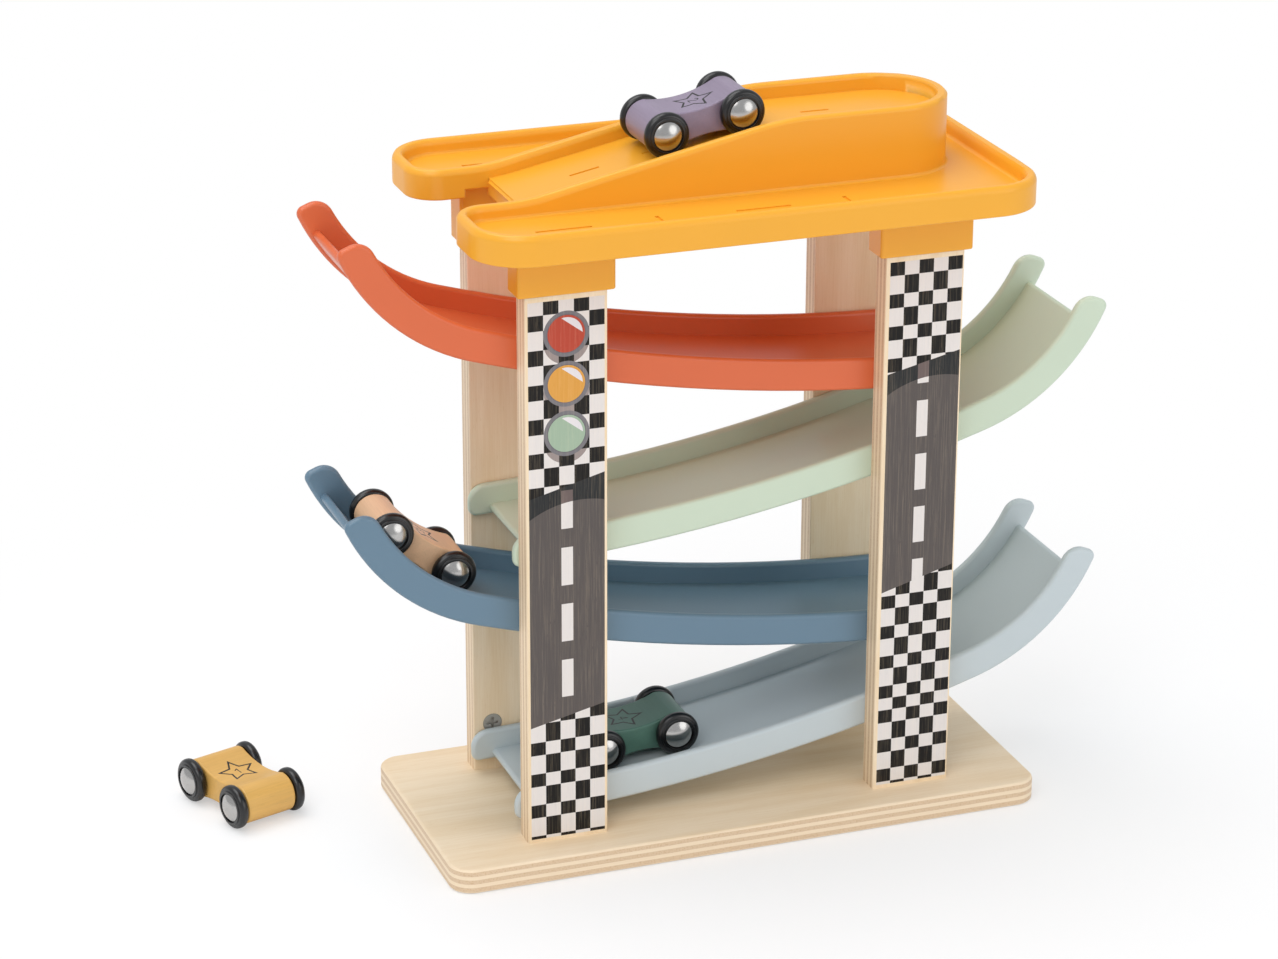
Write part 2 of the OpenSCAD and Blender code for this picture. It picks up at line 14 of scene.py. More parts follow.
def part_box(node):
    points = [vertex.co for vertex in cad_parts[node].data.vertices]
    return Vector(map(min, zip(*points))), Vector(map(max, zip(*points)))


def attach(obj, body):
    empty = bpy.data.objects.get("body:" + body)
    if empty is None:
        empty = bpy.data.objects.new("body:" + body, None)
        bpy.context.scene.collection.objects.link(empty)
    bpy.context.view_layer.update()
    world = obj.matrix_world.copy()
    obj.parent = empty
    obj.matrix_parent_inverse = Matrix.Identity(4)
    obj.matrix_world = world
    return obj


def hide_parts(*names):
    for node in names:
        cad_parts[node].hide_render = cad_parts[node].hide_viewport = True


bl_info = {
    "name": "Click clack track toy",
    "version": (1, 0, 0),
    "blender": (4, 5, 0),
    "location": "View3D > Sidebar > Track toy",
    "description": "Zigzag track toy with a parking deck and small wooden cars",
    "category": "Object",
}

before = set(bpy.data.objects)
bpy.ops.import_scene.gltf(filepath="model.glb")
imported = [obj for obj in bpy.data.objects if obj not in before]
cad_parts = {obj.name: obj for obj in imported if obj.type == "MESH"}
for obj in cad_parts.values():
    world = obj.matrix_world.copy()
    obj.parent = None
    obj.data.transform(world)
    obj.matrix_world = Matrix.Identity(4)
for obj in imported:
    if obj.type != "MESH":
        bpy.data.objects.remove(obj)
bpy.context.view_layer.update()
MM = 0.001

TRACKS = ("sky_track", "slate_track", "mint_track", "orange_track")
POSTS = ("front_left_post", "front_right_post", "back_left_post", "back_right_post")
CARS = ("lilac", "peach", "green", "yellow")
ENDS = ("front", "rear")


def rgb(code):
    """Linear colour of a six-digit screen colour."""
    parts = [int(code[i:i + 2], 16) / 255 for i in (0, 2, 4)]
    return tuple(c / 12.92 if c <= 0.04045 else ((c + 0.055) / 1.055) ** 2.4 for c in parts)


def colour_property(name, code, description):
    return bpy.props.FloatVectorProperty(
        name=name, description=description, subtype="COLOR", size=3, min=0, max=1, default=rgb(code))


def length_property(name, mm, description):
    return bpy.props.FloatProperty(
        name=name, description=description, default=mm * MM, min=0, subtype="DISTANCE", unit="LENGTH")


class ToyColours(bpy.types.PropertyGroup):
    """Colours of the toy's mouldings, wood, print and cars"""
    deck: colour_property("Deck", "F0AA2E", "Yellow-orange deck")
    orange_track: colour_property("Top track", "D9693E", "Red-orange track")
    mint_track: colour_property("Second track", "C9D7C1", "Pale mint track")
    slate_track: colour_property("Third track", "658093", "Slate blue track")
    sky_track: colour_property("Lowest track", "C3CDD0", "Pale blue track")
    birch_light: colour_property("Birch, light", "F8E4C6", "Pale growth of the birch veneer")
    birch_dark: colour_property("Birch, dark", "EBD0A8", "Darker growth of the birch veneer")
    layer_dark: colour_property("Cross layer", "CDAA83", "Cross-grain layers seen on a board's edge")
    ink: colour_property("Print, black", "120F0D", "Dark cells of the print")
    chalk: colour_property("Print, white", "E6DFDA", "White cells of the print")
    road: colour_property("Print, road", "5C5552", "Grey road of the print")
    verge: colour_property("Print, band", "2A2B2C", "Dark band above the road")
    lilac: colour_property("Lilac car", "928499", "Painted body")
    peach: colour_property("Peach car", "E8BE96", "Painted body")
    green: colour_property("Green car", "587F70", "Painted body")
    yellow: colour_property("Yellow car", "E2B15F", "Painted body")
    rubber: colour_property("Wheels", "0B0B0C", "Glossy black wheels")


class ToySizes(bpy.types.PropertyGroup):
    """Sizes that only the finish of the pieces uses"""
    board_edge: length_property("Board edge", 1.4, "Rounding of the base board's edges")
    post_edge: length_property("Post edge", 0.6, "Rounding of the posts' edges")
    track_edge: length_property("Track edge", 1.7, "Rounding of the tracks' wall tops")
    deck_edge: length_property("Deck edge", 0.8, "Rounding of the deck's edges")
    deck_foot: length_property("Deck foot", 1.6, "Fillet between the deck's floor and its walls")
    body_edge: length_property("Car edge", 0.9, "Rounding of the car bodies' sides")
    cell: length_property("Print cell", 6.6, "Width of one printed cell")
    star: length_property("Star", 8.4, "Reach of the printed star's tips")
    star_line: length_property("Star line", 0.85, "Width of the printed star's line")


def colours():
    return bpy.context.scene.toy_colours


def sizes():
    return bpy.context.scene.toy_sizes


# Shader arithmetic


class Wire:
    """A number in a node tree that can be added, multiplied and compared."""

    def __init__(self, tree, socket):
        self.tree = tree
        self.socket = socket

    def run(self, operation, *others, clamp=False):
        node = self.tree.nodes.new("ShaderNodeMath")
        node.operation = operation
        node.use_clamp = clamp
        for socket, value in zip(node.inputs, (self,) + others):
            plug(self.tree, value, socket)
        return Wire(self.tree, node.outputs[0])

    def __add__(self, other):
        return self.run("ADD", other)

    def __sub__(self, other):
        return self.run("SUBTRACT", other)

    def __mul__(self, other):
        return self.run("MULTIPLY", other)

    def __truediv__(self, other):
        return self.run("DIVIDE", other)

    def __lt__(self, other):
        return self.run("LESS_THAN", other)

    def __gt__(self, other):
        return self.run("GREATER_THAN", other)

    def __mod__(self, other):
        return self.run("FLOORED_MODULO", other)

    def flip(self):
        return (self * -1.0) + 1.0

    def size(self):
        return self.run("ABSOLUTE")

    def both(self, other):
        return self.run("MULTIPLY", other)

    def reach(self, other):
        """Length of the vector made of two numbers."""
        return (self * self + other * other).run("SQRT")


def plug(tree, value, socket):
    """Links a socket or a Wire, or types in a plain value."""
    if isinstance(value, Wire):
        value = value.socket
    if isinstance(value, bpy.types.NodeSocket):
        tree.links.new(value, socket)
    elif isinstance(value, (tuple, list)) and len(value) == 3 and socket.type == "RGBA":
        socket.default_value = (*value, 1.0)
    else:
        socket.default_value = value


def node(tree, kind, **inputs):
    """Adds a node. Inputs are named with underscores for spaces."""
    made = tree.nodes.new(kind)
    for name, value in inputs.items():
        plug(tree, value, made.inputs[name.replace("_", " ")])
    return made


def blend_colour(tree, mask, first, second):
    """First where mask is 0, second where it is 1. A Mix node's colours are its sockets 6, 7 and 2."""
    mix = tree.nodes.new("ShaderNodeMix")
    mix.data_type = "RGBA"
    for place, value in ((0, mask), (6, first), (7, second)):
        plug(tree, value, mix.inputs[place])
    return mix.outputs[2]


def vector_math(tree, operation, first, second=None, scale=None):
    """Adds a Vector Math node with the inputs that its operation uses."""
    made = tree.nodes.new("ShaderNodeVectorMath")
    made.operation = operation
    for place, value in ((0, first), (1, second), ("Scale", scale)):
        if value is not None:
            plug(tree, value, made.inputs[place])
    return made


def vector(tree, x, y, z):
    return node(tree, "ShaderNodeCombineXYZ", X=x, Y=y, Z=z).outputs[0]


def noise(tree, place, scale, detail=2.0, rough=0.5):
    """Noise with its own scale along each direction of place."""
    stretched = vector_math(tree, "MULTIPLY", place, scale).outputs[0]
    made = node(tree, "ShaderNodeTexNoise", Vector=stretched, Scale=1.0, Detail=detail, Roughness=rough)
    return Wire(tree, made.outputs["Fac"])


def ramp(tree, wire, low, high):
    """0 below low, 1 above high, smooth between."""
    span = node(tree, "ShaderNodeMapRange", Value=wire)
    span.interpolation_type = "SMOOTHSTEP"
    span.inputs["From Min"].default_value = low
    span.inputs["From Max"].default_value = high
    return Wire(tree, span.outputs[0])


SOCKETS = {"place": "NodeSocketVector", "colour": "NodeSocketColor", "number": "NodeSocketFloat"}


def new_group(name, inputs, outputs):
    """An empty shader node group with named inputs and outputs."""
    tree = bpy.data.node_groups.new(name, "ShaderNodeTree")
    for label, kind in inputs:
        tree.interface.new_socket(name=label, in_out="INPUT", socket_type=SOCKETS[kind])
    for label, kind in outputs:
        tree.interface.new_socket(name=label, in_out="OUTPUT", socket_type=SOCKETS[kind])
    return tree, tree.nodes.new("NodeGroupInput").outputs, tree.nodes.new("NodeGroupOutput").inputs


def use_group(tree, name, builder, **inputs):
    """Places a group, built the first time that it is asked for."""
    made = tree.nodes.new("ShaderNodeGroup")
    made.node_tree = bpy.data.node_groups.get(name) or builder(name)
    for label, value in inputs.items():
        plug(tree, value, made.inputs[label.replace("_", " ")])
    return made.outputs


# Node groups. Place is always in millimetres, its X along the grain.


def grain_group(name):
    """Birch veneer: a broad figure, fine fibres and short dark flecks."""
    tree, give, take = new_group(
        name, (("Place", "place"), ("Light", "colour"), ("Dark", "colour")),
        (("Colour", "colour"), ("Height", "number")))
    place = give["Place"]
    figure = noise(tree, place, (0.012, 0.11, 0.11), 4.0, 0.55)
    fibres = noise(tree, place, (0.05, 1.7, 1.7), 3.0, 0.6)
    flecks = ramp(tree, noise(tree, place, (0.28, 2.6, 2.6), 1.0), 0.66, 0.74)
    depth = (ramp(tree, figure, 0.36, 0.68) * 0.5) + (ramp(tree, fibres, 0.3, 0.75) * 0.35) + (flecks * 0.35)
    tree.links.new(
        blend_colour(tree, depth.run("MINIMUM", 1.0), give["Light"], give["Dark"]), take["Colour"])
    tree.links.new(((fibres * 0.7) - (flecks * 0.4)).socket, take["Height"])
    return tree


FACE_VENEER, CORE_VENEER, BOARD = 1.0, 1.8, 11.0


def layers_group(name):
    """A plywood edge: thin face veneers over thicker layers of turned grain."""
    tree, give, take = new_group(
        name, (("Place", "place"), ("Depth", "number"), ("Light", "colour"), ("Dark", "colour")),
        (("Colour", "colour"), ("Height", "number")))
    wander = noise(tree, give["Place"], (0.03, 0.03, 0.03), 1.0)
    depth = Wire(tree, give["Depth"]) + ((wander - 0.5) * 0.3)
    layer = (depth - FACE_VENEER) / CORE_VENEER
    step = layer.run("FLOOR") % 2.0
    pores = ramp(tree, noise(tree, give["Place"], (1.4, 1.4, 1.4), 2.0), 0.45, 0.75)
    streaks = noise(tree, give["Place"], (0.06, 1.2, 1.2), 2.0)
    inside = (depth > FACE_VENEER).both(depth < (BOARD - FACE_VENEER))
    turned = step.flip().both(inside)
    glue = ramp(tree, ((layer % 1.0) - 0.5).size(), 0.42, 0.5)
    shade = (turned * ((pores * 0.3) + 0.6)) + (turned.flip() * (streaks * 0.25)) + (glue * 0.25)
    tree.links.new(
        blend_colour(tree, shade.run("MINIMUM", 1.0), give["Light"], give["Dark"]), take["Colour"])
    tree.links.new(((turned * pores * -0.7) - (glue * 0.5)).socket, take["Height"])
    return tree


def moulded_group(name):
    """Moulded plastic: a faint unevenness of colour and gloss, and a fine skin."""
    tree, give, take = new_group(
        name, (("Place", "place"), ("Colour", "colour"), ("Gloss", "number")),
        (("Colour", "colour"), ("Roughness", "number"), ("Height", "number")))
    flow = noise(tree, give["Place"], (0.02, 0.02, 0.03), 3.0)
    skin = noise(tree, give["Place"], (1.6, 1.6, 1.6), 2.0)
    sink = noise(tree, give["Place"], (0.05, 0.05, 0.05), 1.0)
    lifted = node(tree, "ShaderNodeHueSaturation", Color=give["Colour"], Value=(flow * 0.08) + 0.96).outputs[0]
    tree.links.new(lifted, take["Colour"])
    rough = (Wire(tree, give["Gloss"]) + ((flow - 0.5) * 0.12)) + ((skin - 0.5) * 0.08)
    tree.links.new(rough.socket, take["Roughness"])
    tree.links.new(((skin * 0.12) + (sink * 0.9)).socket, take["Height"])
    return tree


def chequers_group(name):
    """Printed chequers in rows of two heights, dark rows at the even columns."""
    tree, give, take = new_group(
        name, (("Across", "number"), ("Up", "number"), ("Cell", "number"), ("First", "number"),
               ("Period", "number"), ("Row", "number")),
        (("Dark", "number"),))
    across, up = Wire(tree, give["Across"]), Wire(tree, give["Up"])
    column = ((across / give["Cell"]) + 2.5).run("FLOOR") % 2.0
    fall = ((up * -1.0) + give["First"]) % give["Period"]
    second = fall > give["Row"]
    tree.links.new((second - column).size().flip().socket, take["Dark"])
    return tree


def star_group(name):
    """Signed distance to a five-pointed star's outline, one tip along +X."""
    tree, give, take = new_group(
        name, (("Along", "number"), ("Across", "number"), ("Reach", "number")), (("Distance", "number"),))
    along, across, reach = (Wire(tree, give[n]) for n in ("Along", "Across", "Reach"))
    step = 2 * math.pi / 5
    inner = 0.5
    turned = ((across.run("ARCTAN2", along) + step / 2) % step) - step / 2
    far = along.reach(across)
    tip = far * turned.run("COSINE")
    side = far * turned.run("SINE").size()
    dx, dy = inner * math.cos(step / 2) - 1, inner * math.sin(step / 2)
    norm = math.hypot(dx, dy)
    distance = ((tip - reach) * (dy / norm)) - (side * (dx / norm))
    tree.links.new(distance.socket, take["Distance"])
    return tree


def stroke_group(name):
    """Distance to a straight stroke between two points of a printed numeral."""
    tree, give, take = new_group(
        name, (("Place", "place"), ("Start", "place"), ("Run", "place"), ("Square", "number")),
        (("Distance", "number"),))
    off = vector_math(tree, "SUBTRACT", give["Place"], give["Start"]).outputs[0]
    reached = Wire(tree, vector_math(tree, "DOT_PRODUCT", off, give["Run"]).outputs["Value"])
    share = (reached / give["Square"]).run("ADD", 0.0, clamp=True)
    nearest = vector_math(tree, "SCALE", give["Run"], scale=share).outputs[0]
    tree.links.new(vector_math(tree, "DISTANCE", off, nearest).outputs["Value"], take["Distance"])
    return tree


# Materials


def new_material(name):
    """A material with its tree, its Principled shader and its place in mm."""
    material = bpy.data.materials.new(name)
    material.use_nodes = True
    tree = material.node_tree
    shader = tree.nodes["Principled BSDF"]
    place = vector_math(tree, "SCALE", node(tree, "ShaderNodeTexCoord").outputs["Object"], scale=1 / MM)
    return material, tree, shader, place.outputs[0]


def bump(tree, shader, height, strength, distance_mm):
    made = node(tree, "ShaderNodeBump", Strength=strength, Distance=distance_mm * MM, Height=height)
    tree.links.new(made.outputs[0], shader.inputs["Normal"])


def split(tree, place):
    parts = node(tree, "ShaderNodeSeparateXYZ", Vector=place)
    return [Wire(tree, out) for out in parts.outputs]


def moulded(name, colour, gloss, strength, distance_mm):
    """A material of one colour with the moulded skin."""
    material, tree, shader, place = new_material(name)
    skin = use_group(tree, "Moulded skin", moulded_group, Place=place, Colour=colour, Gloss=gloss)
    plug(tree, skin["Colour"], shader.inputs["Base Color"])
    plug(tree, skin["Roughness"], shader.inputs["Roughness"])
    bump(tree, shader, skin["Height"], strength, distance_mm)
    return material, shader


def plastic(name, colour):
    material, shader = moulded(name, colour, gloss=0.34, strength=0.35, distance_mm=0.05)
    shader.inputs["Specular IOR Level"].default_value = 0.45
    return material


def plywood(name, axes, low):
    """Birch ply. axes are the places of along, across and depth; low is the board's lower face."""
    material, tree, shader, place = new_material(name)
    parts = split(tree, place)
    along, across, depth = (parts[i] for i in axes)
    turned = vector(tree, along, across, depth)
    c = colours()
    face = use_group(tree, "Birch grain", grain_group, Place=turned, Light=tuple(c.birch_light),
                     Dark=tuple(c.birch_dark))
    edge = use_group(tree, "Ply layers", layers_group, Place=turned, Depth=depth - low,
                     Light=tuple(c.birch_light), Dark=tuple(c.layer_dark))
    normal = split(tree, node(tree, "ShaderNodeNewGeometry").outputs["Normal"])[axes[2]]
    on_face = ramp(tree, normal.size(), 0.55, 0.85)
    colour = blend_colour(tree, on_face, edge["Colour"], face["Colour"])
    height = (Wire(tree, face["Height"]) * on_face) + (Wire(tree, edge["Height"]) * on_face.flip())
    plug(tree, colour, shader.inputs["Base Color"])
    shader.inputs["Roughness"].default_value = 0.52
    shader.inputs["Coat Weight"].default_value = 0.12
    shader.inputs["Coat Roughness"].default_value = 0.35
    bump(tree, shader, height, 0.35, 0.12)
    return material, tree, shader, parts, normal, colour, Wire(tree, face["Height"])


# The printed posts. Heights are in mm over the table, across is from the print's middle.
PRINTS = {
    "front_left_post": {
        "middle": 0.0, "upper": (247.8, 14.93, 6.7), "lower": (57.8, 14.6, 6.0), "change": 0.0,
        "lower_again": (57.8, 14.6, 6.0), "band": (172.5, 0.2625), "crest": 165.7, "foot": (68.4, 0.233),
        "dash": (170.6, 25.4, 17.0), "last_dash": 76.0, "lamps": True},
    "front_right_post": {
        "middle": 0.5, "upper": (253.6, 14.22, 6.1), "lower": (102.4, 14.15, 5.95), "change": 51.2,
        "lower_again": (48.4, 14.2, 6.1), "band": (207.75, 0.232), "crest": 201.3, "foot": (108.8, 0.288),
        "dash": (214.9, 24.2, 16.4), "last_dash": 100.0, "lamps": False},
}
PRINT_TOP, PRINT_BOTTOM, PRINT_HALF = 253.5, 12.6, 16.5
CREST_SIDE, CREST_RADIUS = 6.4, 42.0
LAMP_TOP, LAMP_PITCH, LAMP_RIM, LAMP_LENS, LAMP_SHADE = 238.85, 21.6, 9.88, 8.05, 3.1
LAMP_OUTLINE = 0.35
SHINE_REACH, SHINE_TILT, SHINE_EDGE = 7.05, (0.598, 0.801), 4.2
LAMP_COLOURS = ("BC4A36", "DFA048", "A3B8A0")
LAMP_RING, LAMP_LINE, LAMP_SHADOW, LAMP_SHINE = "7A777B", "6B686C", "9C8F8B", "E6E0E2"
DASH_HALF = 2.55
DASH_SHADED = "6F605D"


def printed_plywood(name, post, low):
    """Plywood with the road print on its front face."""
    material, tree, shader, parts, normal, bare, fibres = plywood(name, (2, 0, 1), low)
    p, c = PRINTS[post], colours()
    lowest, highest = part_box(post)
    middle = (lowest[0] + highest[0]) / 2 / MM + p["middle"]
    x, z = parts[0] - middle, parts[2]
    cell = sizes().cell / MM

    def chequers(rows):
        return Wire(tree, use_group(tree, "Printed chequers", chequers_group, Across=x, Up=z, Cell=cell,
                                    First=rows[0], Period=rows[1], Row=rows[2])["Dark"])

    under = z - p["band"][0] - (x * p["band"][1])
    over_foot = z - p["foot"][0] - (x * p["foot"][1])
    again = z < p["change"]
    low_dark = (chequers(p["lower"]) * again.flip()) + (chequers(p["lower_again"]) * again)
    in_upper = under > 0.0
    dark = (chequers(p["upper"]) * in_upper) + (low_dark * in_upper.flip())
    ink = blend_colour(tree, dark, tuple(c.chalk), tuple(c.ink))
    if p["lamps"]:
        for i in range(len(LAMP_COLOURS)):
            shade = x.reach(z - (LAMP_TOP - i * LAMP_PITCH - LAMP_SHADE)) < LAMP_RIM
            ink = blend_colour(tree, shade * dark.flip(), ink, rgb(LAMP_SHADOW))
        for i, code in enumerate(LAMP_COLOURS):
            up = z - (LAMP_TOP - i * LAMP_PITCH)
            far = x.reach(up)
            ink = blend_colour(tree, far < LAMP_RIM, ink, rgb(LAMP_RING))
            ink = blend_colour(tree, far < LAMP_LENS + LAMP_OUTLINE, ink, rgb(LAMP_LINE))
            ink = blend_colour(tree, far < LAMP_LENS, ink, rgb(code))
            shine = (far < SHINE_REACH).both(((x * SHINE_TILT[0]) + (up * SHINE_TILT[1])) > SHINE_EDGE)
            ink = blend_colour(tree, shine, ink, rgb(LAMP_SHINE))
    on_road = (over_foot > 0.0).both(in_upper.flip())
    centre = p["crest"] - CREST_RADIUS
    below = ((x - CREST_SIDE).reach(z - centre) < CREST_RADIUS).run("MAXIMUM", z < centre)
    ink = blend_colour(tree, on_road, ink, tuple(c.verge))
    ink = blend_colour(tree, on_road.both(below), ink, tuple(c.road))
    dash = (((z * -1.0) + p["dash"][0]) % p["dash"][1]) < p["dash"][2]
    dash = dash.both(x.size() < DASH_HALF).both(z > p["last_dash"]).both(z < p["dash"][0]).both(on_road)
    ink = blend_colour(tree, dash, ink, rgb(DASH_SHADED))
    ink = blend_colour(tree, dash.both(below), ink, tuple(c.chalk))
    ink = blend_colour(tree, ramp(tree, fibres, 0.3, 0.62) * 0.12, ink, bare)
    worn = node(tree, "ShaderNodeHueSaturation", Color=ink, Value=(fibres * 0.16) + 0.93).outputs[0]
    on_print = (normal < -0.8).both(x.size() < PRINT_HALF).both(z < PRINT_TOP).both(z > PRINT_BOTTOM)
    plug(tree, blend_colour(tree, on_print, bare, worn), shader.inputs["Base Color"])
    shader.inputs["Specular IOR Level"].default_value = 0.25
    shader.inputs["Coat Weight"].default_value = 0.0
    return material


STROKES = {
    "1": (((-1.1, 0.9), (0.2, 2.0)), ((0.2, 2.0), (0.2, -2.0))),
    "2": (((-1.2, 1.2), (-0.5, 2.0)), ((-0.5, 2.0), (0.7, 1.9)), ((0.7, 1.9), (1.1, 1.0)),
          ((1.1, 1.0), (-1.2, -2.0)), ((-1.2, -2.0), (1.3, -2.0))),
    "3": (((-1.1, 1.7), (0.6, 2.0)), ((0.6, 2.0), (1.1, 1.1)), ((1.1, 1.1), (0.0, 0.2)),
          ((0.0, 0.2), (1.2, -0.7)), ((1.2, -0.7), (0.6, -1.9)), ((0.6, -1.9), (-1.2, -1.7))),
    "4": (((0.6, -2.0), (0.6, 2.0)), ((0.6, 2.0), (-1.3, -0.7)), ((-1.3, -0.7), (1.4, -0.7))),
}
NUMERALS = {"lilac": "2", "peach": "3", "green": "4", "yellow": "1"}
STAR_PLACES = {"lilac": 1.7, "peach": 0.0, "green": -2.5, "yellow": 1.8}
NUMERAL_LINE = 0.5


def car_axes(car):
    """Middle of a car's axles, its direction towards the rear, and to its right side."""
    def middle(names):
        boxes = [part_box(n) for n in names]
        return sum((Vector(a) + Vector(b) for a, b in boxes), Vector()) / (2 * len(boxes))

    front, rear = (middle([car + "_" + end + "_caps"]) for end in ENDS)
    left = middle([car + "_front_left_wheel", car + "_rear_left_wheel"])
    right = middle([car + "_front_right_wheel", car + "_rear_right_wheel"])
    return (front + rear) / 2, (rear - front).normalized(), (right - left).normalized()


def painted_wood(name, car):
    """Painted wooden body with a star and a numeral on its waist."""
    material, tree, shader, place = new_material(name)
    middle, back, right = car_axes(car)
    up = back.cross(right)

    def local(axis):
        made = vector_math(tree, "DOT_PRODUCT", place, axis)
        return Wire(tree, made.outputs["Value"]) - middle.dot(axis) / MM

    along, across, height = local(back), local(right), local(up)
    turned = vector(tree, across, along, height)
    along = along - STAR_PLACES[car]
    paint = Vector(getattr(colours(), car))
    grain = use_group(tree, "Birch grain", grain_group, Place=turned,
                      Light=tuple(paint), Dark=tuple(paint * 0.8))
    star = Wire(tree, use_group(tree, "Printed star", star_group, Along=along, Across=across,
                                Reach=sizes().star / MM)["Distance"])
    mark = star.size() < sizes().star_line / MM / 2
    flat = vector(tree, across * -1.0, along, 0.0)
    for start, end in STROKES[NUMERALS[car]]:
        run = (end[0] - start[0], end[1] - start[1], 0.0)
        stroke = use_group(tree, "Printed stroke", stroke_group, Place=flat, Start=(*start, 0.0), Run=run,
                           Square=run[0] ** 2 + run[1] ** 2)
        mark = mark.run("MAXIMUM", Wire(tree, stroke["Distance"]) < NUMERAL_LINE / 2)
    mark = mark.both(height > 0.0)
    plug(tree, blend_colour(tree, mark, grain["Colour"], tuple(colours().ink)), shader.inputs["Base Color"])
    shader.inputs["Roughness"].default_value = 0.42
    bump(tree, shader, grain["Height"], 0.2, 0.08)
    return material


def steel(name, colour, roughness, scratch=0.3, metallic=1.0):
    material, tree, shader, place = new_material(name)
    fine = noise(tree, place, (0.9, 0.9, 0.9), 3.0)
    plug(tree, blend_colour(tree, fine, rgb(colour), tuple(v * 0.86 for v in rgb(colour))),
         shader.inputs["Base Color"])
    shader.inputs["Metallic"].default_value = metallic
    plug(tree, (fine * 0.1) + (roughness - 0.05), shader.inputs["Roughness"])
    bump(tree, shader, fine, scratch, 0.03)
    return material


def wheel_black(name):
    material, shader = moulded(name, tuple(colours().rubber), gloss=0.3, strength=0.3, distance_mm=0.04)
    shader.inputs["Coat Weight"].default_value = 0.25
    shader.inputs["Coat Roughness"].default_value = 0.2
    return material


def shared(name, make, *args):
    """A material by name, made once."""
    return bpy.data.materials.get(name) or make(name, *args)


# Pieces


def finish_piece(bm, name, material, body, nodes, sharp=32):
    """Turns a bmesh into the piece that stands for these nodes."""
    mesh = bpy.data.meshes.new(name)
    bm.to_mesh(mesh)
    bm.free()
    mesh.shade_smooth()
    mesh.set_sharp_from_angle(angle=math.radians(sharp))
    mesh.materials.append(material)
    piece = bpy.data.objects.new(name, mesh)
    piece.modifiers.new("Even flat faces", "WEIGHTED_NORMAL").keep_sharp = True
    bpy.context.scene.collection.objects.link(piece)
    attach(piece, body)
    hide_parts(*nodes)


def merged_copy(node_name):
    """A node's mesh with its loose triangles joined into whole faces."""
    bm = bmesh.new()
    bm.from_mesh(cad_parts[node_name].data)
    bmesh.ops.remove_doubles(bm, verts=bm.verts, dist=1e-7)
    bmesh.ops.dissolve_limit(
        bm, angle_limit=math.radians(0.2), verts=bm.verts, edges=bm.edges, use_dissolve_boundaries=False)
    close_seams(bm)
    return bm


def close_seams(bm):
    """Takes out the hairline seams that lie inside a solid, and edges shorter than a grain of dust."""
    faces = list(bm.faces)
    tree = KDTree(len(faces))
    for i, face in enumerate(faces):
        tree.insert(face.calc_center_median(), i)
    tree.balance()
    twins = {face for i, face in enumerate(faces) for _, j, _ in tree.find_range(face.calc_center_median(), 3e-6)
             if j != i and face.normal.dot(faces[j].normal) < -0.99}
    if twins:
        bmesh.ops.delete(bm, geom=list(twins), context="FACES")
        bmesh.ops.remove_doubles(bm, verts=bm.verts, dist=2e-6)
    bmesh.ops.collapse(bm, edges=[e for e in bm.edges if e.calc_length() < 1.2e-5], uvs=False)
    drop_wires(bm)


def drop_wires(bm):
    """Takes out the edges that carry no face."""
    bmesh.ops.delete(bm, geom=[e for e in bm.edges if not e.link_faces], context="EDGES")


def fold(edge):
    """Degrees between an edge's two faces: above 0 outward, below 0 inward, 0 at a border."""
    return math.degrees(edge.calc_face_angle_signed(0)) if len(edge.link_faces) == 2 else 0


def bevel(bm, edges, radius, segments):
    """Rounds edges by an even offset."""
    bmesh.ops.bevel(bm, geom=edges, offset=radius, offset_type="OFFSET", segments=segments, profile=0.5,
                    affect="EDGES", clamp_overlap=False, material=-1)


def ease(bm, radius, segments, chosen, sharp=30):
    """Rounds the outward edges that chosen accepts."""
    bevel(bm, [e for e in bm.edges if fold(e) > sharp and chosen(e)], radius, segments)


def both_ends(test):
    """A test of an edge from a test of a point in mm."""
    return lambda edge: all(test(*(v.co / MM)) for v in edge.verts)


def dress_node(name, material):
    """Gives a node that keeps its own mesh a better material."""
    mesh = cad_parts[name].data
    mesh.materials.clear()
    mesh.materials.append(material)


class TRACKTOY_OT_base(bpy.types.Operator):
    """Dress the plywood base board"""
    bl_idname = "tracktoy.base"
    bl_label = "Base board"

    def execute(self, context):
        bm = merged_copy("base_board")
        low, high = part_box("base_board")
        corner, side = 14, 0.1
        ease(bm, sizes().board_edge, 3, both_ends(
            lambda x, y, z: abs(x) > high[0] / MM - corner or abs(y) > high[1] / MM - side))
        material = shared("Base plywood", lambda n: plywood(n, (0, 1, 2), low[2] / MM)[0])
        finish_piece(bm, "base_board_ply", material, "toy", ["base_board"])
        return {"FINISHED"}


class TRACKTOY_OT_posts(bpy.types.Operator):
    """Dress the four posts, the front two with their print"""
    bl_idname = "tracktoy.posts"
    bl_label = "Posts"

    def execute(self, context):
        for post in POSTS:
            low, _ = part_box(post)
            bm = merged_copy(post)
            ease(bm, sizes().post_edge, 2, lambda edge: edge.calc_length() > 0.1)
            face = low[1] / MM
            if post in PRINTS:
                material = printed_plywood("Printed plywood, " + post.replace("_", " "), post, face)
            else:
                material = shared("Post plywood", lambda n: plywood(n, (2, 0, 1), face)[0])
            finish_piece(bm, post + "_ply", material, "toy", [post])
        return {"FINISHED"}


class TRACKTOY_OT_fasteners(bpy.types.Operator):
    """Finish the bolts and barrel nuts"""
    bl_idname = "tracktoy.fasteners"
    bl_label = "Fasteners"

    def execute(self, context):
        zinc = shared("Zinc-plated steel", steel, "B9B5AE", 0.45, 0.5, 0.6)
        for name in ("base_bolts", "barrel_nuts"):
            bm = merged_copy(name)
            ease(bm, 0.25 * MM, 2, lambda edge: True, sharp=50)
            finish_piece(bm, name + "_steel", zinc, "toy", [name])
        return {"FINISHED"}


